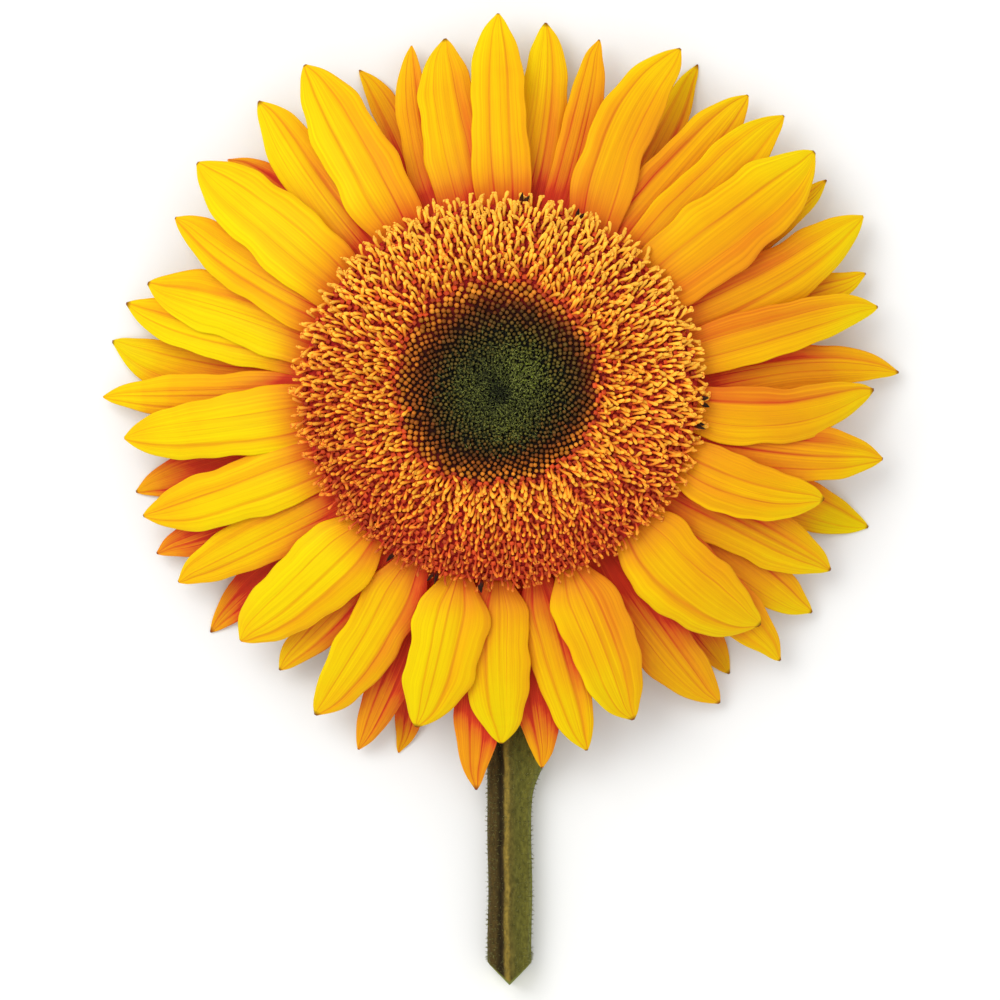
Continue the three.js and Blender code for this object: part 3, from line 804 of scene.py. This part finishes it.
def add_anthers_and_styles(foot, angle, share, lean, draw):
    """Anther tubes of the open florets: pollen-covered rods that lean outwards and end in a round
    knob. Those near the rim, and some of the others, carry two curled style branches, each an arc
    that turns back on itself."""
    count = len(foot)
    ripe_and_lit = ripe_and_lit_side(angle, share)
    heading = angle + np.radians(draw.normal(0, 14, count))
    steep = lean + np.radians(draw.normal(0, 8, count))
    ways = directions(heading, steep)
    start = foot + 0.7 * ways[2]
    # Florets on the -Y side are younger: their rods are shorter and slimmer. Their red is painted shade,
    # from the shift of their colours below.
    young = ease(-np.sin(angle), 0.2, 0.9) * ease(share, 0.5, 0.8)
    length = draw.uniform(2.1, 3.5, count) * (1 - 0.2 * young)
    bends = (draw.uniform(0.0, 0.5, count), draw.normal(0, 0.26, count))
    lines = bent_lines(start, ways, length, bends, 7)
    size = draw.uniform(0.37, 0.48, count) * (1 - 0.14 * young) * (1 + 0.1 * ripe_and_lit)
    girth = size[:, None] * np.array([0.8, 0.8, 0.8, 0.8, 0.95, 1.22, 0.85])
    stops = [(0.0, "#C44418"), (0.25, "#DC6E1E"), (0.5, "#EC9022"), (0.75, "#F8A82A"), (1.0, "#FFBE3A")]
    material = gradient_material("anther_tissue", stops, 0.6, 0.2, 6.0, 0.08)
    anthers = tubes(lines, ways[1], girth, np.ones(6))
    # The shift paints light and shade: rods towards +Y yellower as painted light, those opposite redder as
    # painted shade.
    add_tubes(
        "anther_tubes", anthers, material, "floret_orange", draw, ["disc_open_florets"],
        shift=0.6 * ripe_and_lit - 0.02,
    )

    has_style = draw.random(count) < np.where(share > 0.8, 0.7, 0.2) * (1 - 0.6 * young)
    tip = lines[has_style, -1]
    way = unit(lines[has_style, -1] - lines[has_style, -2])
    styles = len(tip)
    roll = draw.uniform(0, TURN, styles)
    across = ways[1][has_style]
    spread = np.cos(roll)[:, None] * across + np.sin(roll)[:, None] * np.cross(way, across)
    turn = np.linspace(0, 1, 7)[None, :, None] * draw.uniform(3.4, 4.6, styles)[:, None, None]
    radius = draw.uniform(0.24, 0.36, styles)[:, None, None]
    lines = np.concatenate([
        tip[:, None] + radius * (np.sin(turn) * way[:, None] + (1 - np.cos(turn)) * away[:, None])
        for away in (-spread, spread)
    ])
    binormal = np.tile(np.cross(way, spread), (2, 1))
    girth = np.full((2 * styles, 7), 0.21) * np.array([1, 1, 1, 1, 1.05, 1.0, 0.6])
    stops = [(0.0, "#D8641E"), (0.4, "#F0922A"), (0.7, "#FCAE34"), (1.0, "#FFC444")]
    material = gradient_material("style_tissue", stops, 0.55, 0.12, 6.0, 0.05)
    branches = tubes(lines, binormal, girth, np.ones(5))
    # The style branches take the same painted light and shade.
    shift = 0.5 * np.tile(ripe_and_lit[has_style], 2)
    add_tubes("style_branches", branches, material, "floret_orange", draw, shift=shift)


def add_rim_chaff():
    """Dry, nearly black chaff tips: flat pointed scales that stand up between the bases of a few
    petals, at listed angles in degrees."""
    draw = np.random.default_rng(19)
    angle = np.radians(np.repeat(RIM_CHAFF_ANGLES, 2)) + draw.normal(0, 0.012, 2 * len(RIM_CHAFF_ANGLES))
    count = len(angle)
    start = on_disc(draw.uniform(0.94, 0.965, count), angle, disc_high[2] - 6.5)
    ways = directions(angle + draw.normal(0, 0.3, count), np.radians(draw.uniform(50, 70, count)))
    length = draw.uniform(2.6, 4, count)
    lines = bent_lines(start, ways, length, (draw.uniform(-0.3, 0, count), 0 * angle), 5)
    girth = np.array([0.4, 0.62, 0.58, 0.35, 0.1]) * draw.uniform(0.7, 1.0, count)[:, None]
    flat = np.abs(np.sin(np.arange(8) / 8 * TURN)) * 0.8 + 0.2
    stops = [(0.0, "#6A1A10"), (0.4, "#3A1A0C"), (1.0, "#1A1008")]
    material = gradient_material("dry_chaff_tissue", stops, 0.7, 0.3)
    add_tubes("rim_chaff_tips", tubes(lines, ways[1], girth, flat), material, "floret_brown", draw)


def add_disc():
    """Ground of the disc and all its florets: closed ones in the middle, which ripen outwards to
    round buds, then open ones with an anther tube that leans outwards."""
    foot, angle, share, distance = disc_feet()
    draw = np.random.default_rng(17)
    dark = reach_at(angle, DARK_REACH)
    bud = reach_at(angle, BUD_REACH)
    past_dark = np.clip((distance - dark) / (bud - dark), 0, 1)
    ripeness = 0.7 * np.minimum(distance / dark, 1) + 0.3 * past_dark
    is_open = distance + draw.normal(0, 0.6, len(share)) > bud
    stops = [
        (0.0, "#C42C22"), (0.2, "#AC1E1E"), (0.5, "#8E181A"), (0.6, "#3A140C"), (0.7, "#141008"),
        (1.0, "#0C0E08"),
    ]
    add_disc_ground(gradient_material("disc_ground_tissue", stops, 0.9, 0.0))
    add_closed_florets(*(v[~is_open] for v in (foot, angle, share, distance, ripeness)))
    # Four chaff tips stand beside each floret of the middle, and one beside those around it.
    copies = np.select([distance < 13, distance < 17], [4, 1], 0)
    add_chaff(*(np.repeat(v, copies, axis=0) for v in (foot, angle, share, distance)))
    foot, angle, share = foot[is_open], angle[is_open], share[is_open]
    lean = np.radians(smooth_through(share, [0.3, 0.5, 0.75, 0.88, 0.94], [26, 40, 52, 66, 82]))
    add_corollas(foot, angle, lean, draw)
    add_anthers_and_styles(foot, angle, share, lean, draw)
    add_rim_chaff()


# ---------------------------------------------------------------- stem, receptacle and bracts

STEM_STEPS_CUT = 10
STEM_STEPS_LYING = 110
STEM_STEPS_NECK = 24
STEM_SIDES = 96
STEM_HAIRS = 5200
STEM_CUT_LENGTH = 8.0  # the V cut and the first stretch behind it
SCAR_PLACE = 57.5  # of the leaf scar, from the tip of the stem
CUT_FACE_SHARES = (0.03, 0.25, 0.5, 0.7, 0.85, 0.94, 1.0)  # rings across the cut face


def stem_radius(angle):
    """Radius of the stem round its section: ribs as a sum of cosines, a ridge and a groove beside
    it as narrow bells."""
    ribs = 0.16 * np.cos(angle * 9 + 0.9) + 0.10 * np.cos(angle * 5 + 2.0)
    ridge = 0.35 * bell(angle - math.radians(97), math.radians(8))
    groove = -0.75 * bell(angle - math.radians(113), math.radians(8))
    return STEM_RADIUS - 0.2 + ribs + ridge + groove


def add_stem(material, hair_material):
    """Stem carried along its path: from its V cut along the table, then a quarter turn up at the
    neck, where it widens by the square of the turn. A bell-shaped swelling on +X marks the leaf
    scar. The cut face is closed by smaller and smaller copies of the first ring."""
    axis = STEM_TIP[0]
    end_y = HEAD[1] - NECK_BEND
    scar_y = STEM_TIP[1] + SCAR_PLACE
    angle = np.arange(STEM_SIDES) / STEM_SIDES * TURN
    base = stem_radius(angle)
    base_x = base * np.cos(angle)
    base_z = base * np.sin(angle)

    # The cut: every point stands back from the tip by its distance from the axis.
    shares = np.array(CUT_FACE_SHARES)[:, None]
    face_x = shares * base_x
    face = np.stack([axis + face_x, STEM_TIP[1] + np.abs(face_x), STEM_RADIUS + shares * base_z], axis=-1)
    onward = np.linspace(0, 1, STEM_STEPS_CUT)[1:, None]
    front = STEM_TIP[1] + np.abs(base_x)
    behind = STEM_TIP[1] + STEM_CUT_LENGTH
    cut_y = front + onward * (behind - front)
    cut = np.stack(np.broadcast_arrays(axis + base_x, cut_y, STEM_RADIUS + base_z), axis=-1)

    lying_y = np.linspace(behind, end_y, STEM_STEPS_LYING)[1:]
    axis_x = HEAD[0] + (axis - HEAD[0]) * ease(HEAD[1] - lying_y, NECK_BEND, HEAD[1] - scar_y)
    tilt = np.linspace(0, math.pi / 2, STEM_STEPS_NECK + 1)[1:]
    centre_x = np.concatenate([axis_x, np.full(STEM_STEPS_NECK, HEAD[0])])
    centre_y = np.concatenate([lying_y, end_y + NECK_BEND * np.sin(tilt)])
    centre_z = STEM_RADIUS + np.concatenate([0 * lying_y, NECK_BEND * (1 - np.cos(tilt))])
    tilts = np.concatenate([0 * lying_y, tilt])[:, None]
    flare = 2.4 * (tilts / (math.pi / 2)) ** 2
    scar = 3.6 * bell(centre_y - scar_y, 6.5)[:, None] * (tilts == 0)
    waver = 0.12 * np.sin(centre_y / 9)[:, None] + 0.08 * np.sin(centre_y / 4 + 1)[:, None]
    wide = base + flare + waver * np.cos(angle) + scar * np.maximum(0, np.cos(angle)) ** 2
    up = (base + flare) * np.sin(angle)
    body = np.stack(
        [
            centre_x[:, None] + wide * np.cos(angle),
            centre_y[:, None] - up * np.sin(tilts),
            centre_z[:, None] + up * np.cos(tilts),
        ],
        axis=-1,
    )
    rings = np.concatenate([face, cut, body])
    rings[..., 2] = np.maximum(rings[..., 2], 0.02)
    points = tube_points(rings, STEM_TIP, (*HEAD, NECK_TOP_Z))
    pith = np.zeros(len(rings))
    pith[: len(CUT_FACE_SHARES)] = 1 - shares[:, 0] * 0.95
    attributes = {
        "turn": np.concatenate([np.tile(angle / TURN, len(rings)), [0, 0]]),
        "pith": np.concatenate([np.repeat(pith, STEM_SIDES), [1, 0]]),
    }
    faces = tube_faces(len(rings), STEM_SIDES)
    add_piece("stem_bark", points, faces, material, ["stem"], attributes)

    draw = np.random.default_rng(31)
    row = draw.integers(1, len(cut) + len(lying_y) - 1, STEM_HAIRS) + len(CUT_FACE_SHARES)
    side = draw.integers(0, STEM_SIDES, STEM_HAIRS)
    roots = rings[row, side]
    along_y = draw.normal(0, 0.5, STEM_HAIRS)
    out = np.stack([np.cos(angle[side]), along_y, np.sin(angle[side])], axis=-1)
    above = roots[:, 2] > 0.8
    add_hairs("stem_hairs", roots[above], out[above], 0.8, hair_material, "stem_green")


def add_receptacle(material):
    """Fleshy back of the head: its profile turned round the head's axis, with low ribs that run
    out from the neck."""
    neck = NECK_TOP_Z
    low = receptacle_low[2]
    top = receptacle_high[2]
    profile = [
        (7.2, neck - 1.4), (8.6, neck - 0.5), (12, low + 0.3), (20, low), (30, low + 0.1), (36, low + 0.4),
        (41, low + 1.6), (RIM_RADIUS - 1, low + 3.6), (RIM_RADIUS, low + 5), (RIM_RADIUS, top - 0.5),
        (RIM_RADIUS - 0.6, top), (20, top),
    ]
    points, faces, along = turned_shape(profile, 144)
    angle = np.arctan2(points[:, 1], points[:, 0])
    radius = np.hypot(points[:, 0], points[:, 1])
    ribs = 0.35 * np.cos(angle * 24) * ease(radius, 10, 20) * (points[:, 2] < low + 3)
    points[:, 2] -= np.minimum(ribs, 0.2)
    points[:, :2] += HEAD
    attributes = {"along": along, "tone": np.full(len(points), 0.5)}
    add_piece("receptacle_back", points, faces, material, ["receptacle"], attributes)


BRACT_STEPS_ALONG = 28
BRACT_STEPS_ACROSS = 11
BRACT_THICKNESS = 0.5
BRACT_FORM = ([0, 0.15, 0.4, 0.7, 0.88, 1.0], [0.8, 0.97, 1.0, 0.52, 0.16, 0.03])  # width along it
# For each whorl, in millimetres: count, radius at the root, reach, height at the root, fall over
# the first 20 mm, width, the CAD node that it stands for, and the turn of its first bract.
BRACT_WHORLS = (
    (19, 42.5, 66.0, 20.0, 5.4, 17.0, "bracts_inner_whorl", 0.2),
    (17, 40.5, 62.0, 18.3, 5.0, 16.0, "", 0.7),
    (15, 37.0, 57.0, 16.9, 4.4, 14.0, "bracts_outer_whorl", 0.0),
)
LONG_BRACT_ANGLE = 233.8
LONG_BRACT_REACH = 84.0


def bract_grid(heading, root, reach, root_z, fall, width, seed):
    """Upper surface of a bract on a grid: widest a third of the way out, then drawn out to a long
    point; it falls outwards by a power of the distance, with a raised midrib and turned margins."""
    draw = np.random.default_rng(seed)
    along = np.linspace(0, 1, BRACT_STEPS_ALONG)[:, None]
    across = np.linspace(-1, 1, BRACT_STEPS_ACROSS)[None, :]
    half = width / 2 * smooth_through(along, *BRACT_FORM)
    radius = root + along * (reach - root)
    height = root_z - fall * ((radius - root) / 20) ** 1.5
    height = height + draw.uniform(-0.5, 0.3) * along
    cup = draw.uniform(0.05, 0.2) * half * across**2
    rib = 0.35 * bell(across, 0.16) * (1 - along)
    wave = 0.3 * across * np.sin(TURN * (along * 1.3 + draw.random()))
    bend = draw.uniform(-1.5, 1.5) * along**3
    angle = heading + (across * half + bend) / radius
    points = to_row(radius, angle, height + cup + rib + wave)
    # Bracts above the stem lie on it, and the others stay off the table.
    beside = points[..., 0] - STEM_TIP[0]
    over_stem = (2 * STEM_RADIUS + 0.9) * np.exp(-((beside / 9) ** 4)) * (points[..., 1] < HEAD[1])
    points[..., 2] = np.maximum(points[..., 2], np.maximum(over_stem, 0.8))
    return points, along, across


def add_bracts(material, hair_material):
    """Involucre: whorls of single bracts under the petals, with short hairs along their edges."""
    hair_roots = []
    hair_ways = []
    for whorl, (count, root, reach, root_z, fall, width, node, first) in enumerate(BRACT_WHORLS):
        draw = np.random.default_rng(40 + whorl)
        for number in range(count):
            heading = (number + first) / count * TURN + draw.normal(0, 0.03)
            this_reach = reach + draw.uniform(-3, 3)
            this_width = width * draw.uniform(0.9, 1.1)
            away = abs((math.degrees(heading) - LONG_BRACT_ANGLE + 180) % 360 - 180)
            if whorl == 0 and away < 180 / count:
                heading = math.radians(LONG_BRACT_ANGLE)
                this_reach = LONG_BRACT_REACH
            seed = 60 + whorl * 20 + number
            grid, along, across = bract_grid(
                heading, root, this_reach, root_z - 0.12 * (number % 3), fall, this_width, seed
            )
            thinning = (1 - 0.8 * np.abs(across) ** 4) * (1 - 0.6 * along)
            points, faces = sheet(grid, BRACT_THICKNESS * thinning)
            # Only the upper side is red at its base: painted shade, crimson where it lies under the
            # petals.
            upper = np.broadcast_to(along, grid.shape[:2])
            attributes = {
                "along": on_sheet(upper, 0.5 + 0.5 * upper, [0.5, 1]),
                "tone": np.full(len(points), draw.random()),
            }
            stands_for = [node] if node and number == 0 else ()
            name = f"bract_{whorl + 1}_{number + 1:02d}"
            add_piece(name, points, faces, material, stands_for, attributes)
            middle = grid[2:-2, BRACT_STEPS_ACROSS // 2]
            for edge in (grid[2:-2, 0], grid[2:-2, -1]):
                hair_roots.append(edge)
                hair_ways.append(unit(edge - middle) + 0.8 * unit(np.gradient(edge, axis=0)))
    roots = np.concatenate(hair_roots)
    add_hairs("bract_hairs", roots, np.concatenate(hair_ways), 1.2, hair_material, "bract_green")


def add_hairs(name, roots, ways, length, material, slot):
    """Short stiff hairs: thin three-sided cones from their roots along their ways."""
    draw = np.random.default_rng(len(name))
    way = unit(ways + draw.normal(0, 0.25, ways.shape))
    sideways = unit(np.cross(way, [0.3, 0.2, 0.9]))
    lengths = length * draw.uniform(0.6, 1.2, len(roots))
    bend = draw.normal(0, 0.2, len(roots))
    lines = bent_lines(roots, (np.cross(sideways, way), sideways, way), lengths, (bend, 0 * bend), 3)
    girth = np.tile([0.06, 0.045, 0.01], (len(roots), 1))
    points, faces, along, number = tubes(lines, sideways, girth, np.ones(3))
    points[:, 2] = np.maximum(points[:, 2], 0.01)
    add_tubes(name, (points, faces, along, number), material, slot, draw)


def build_flower():
    """All the pieces of the flower."""
    add_petals(petal_material())
    add_disc()
    hairs = gradient_material("hair_tissue", [(0.0, "#64642E"), (1.0, "#94905A")], 0.6, 0.3)
    add_stem(stem_material(), hairs)
    stops = [(0.0, "#5A6A2C"), (0.5, "#6A7A36"), (0.75, "#8A3A1C"), (1.0, "#8A1018")]
    add_receptacle(gradient_material("receptacle_tissue", stops, 0.7, 0.0, 8.0, 0.1))
    # The red start of the bract ramp is painted shade at the bracts' bases.
    stops = [(0.0, "#A81A1C"), (0.3, "#B4301E"), (0.5, "#5E5E28"), (0.62, "#4A622C"), (1.0, "#2E3E1C")]
    add_bracts(gradient_material("bract_tissue", stops, 0.6, 0.15, 4.0, 0.1), hairs)


build_flower()


# ---------------------------------------------------------------- table, light and camera

def add_stage():
    """Plain pale table top under the flower."""
    size = 3.0
    mesh = bpy.data.meshes.new("table_top")
    corners = [(-size, -size, 0), (size, -size, 0), (size, size, 0), (-size, size, 0)]
    mesh.from_pydata(corners, [], [(0, 1, 2, 3)])
    material, tree = new_material("pale_laminate")
    skin = add_node(tree, "BsdfPrincipled", {"Base Color": linear("#F4F4F2"), "Roughness": 0.6})
    add_node(tree, "OutputMaterial", {"Surface": skin})
    mesh.materials.append(material)
    floor = bpy.data.objects.new("table_top", mesh)
    bpy.context.scene.collection.objects.link(floor)


def add_light(name, place, target, size, power):
    """Square soft light at a place in metres, pointing at a target."""
    data = bpy.data.lights.new(name, "AREA")
    data.size = size
    data.energy = power
    light = bpy.data.objects.new(name, data)
    bpy.context.scene.collection.objects.link(light)
    light.location = place
    way = np.array(target) - np.array(place)
    yaw = math.atan2(way[1], way[0])
    pitch = math.acos(-way[2] / np.linalg.norm(way))
    light.rotation_euler = (pitch, 0, yaw - math.pi / 2)


def add_lights_and_world():
    """Large soft light from the upper left, and a pale room."""
    add_light("key_light", (-0.6, 0.5, 1.2), (0, 0, 0.02), 0.9, 9.0)
    world = bpy.data.worlds.new("pale_room")
    bpy.context.scene.world = world
    world.use_nodes = True
    world.node_tree.nodes["Background"].inputs["Color"].default_value = (1, 1, 1, 1)
    world.node_tree.nodes["Background"].inputs["Strength"].default_value = 0.9
    bpy.context.scene.view_settings.view_transform = "Standard"


def add_camera():
    """Camera straight above the flower, with +Y up in the picture."""
    lens = 350.0
    sensor = 36.0
    view_width = 250.0  # millimetres seen across the picture at the height of the petals
    petal_height = 20.0
    below_head = 26.75  # the picture's centre lies this far from the head towards the stem
    data = bpy.data.cameras.new("camera")
    data.lens = lens
    data.sensor_width = sensor
    data.clip_end = 10.0
    camera = bpy.data.objects.new("camera", data)
    bpy.context.scene.collection.objects.link(camera)
    distance = view_width * lens / sensor
    camera.location = np.array([HEAD[0], HEAD[1] - below_head, petal_height + distance]) * MM
    bpy.context.scene.camera = camera


add_stage()
add_lights_and_world()
add_camera()
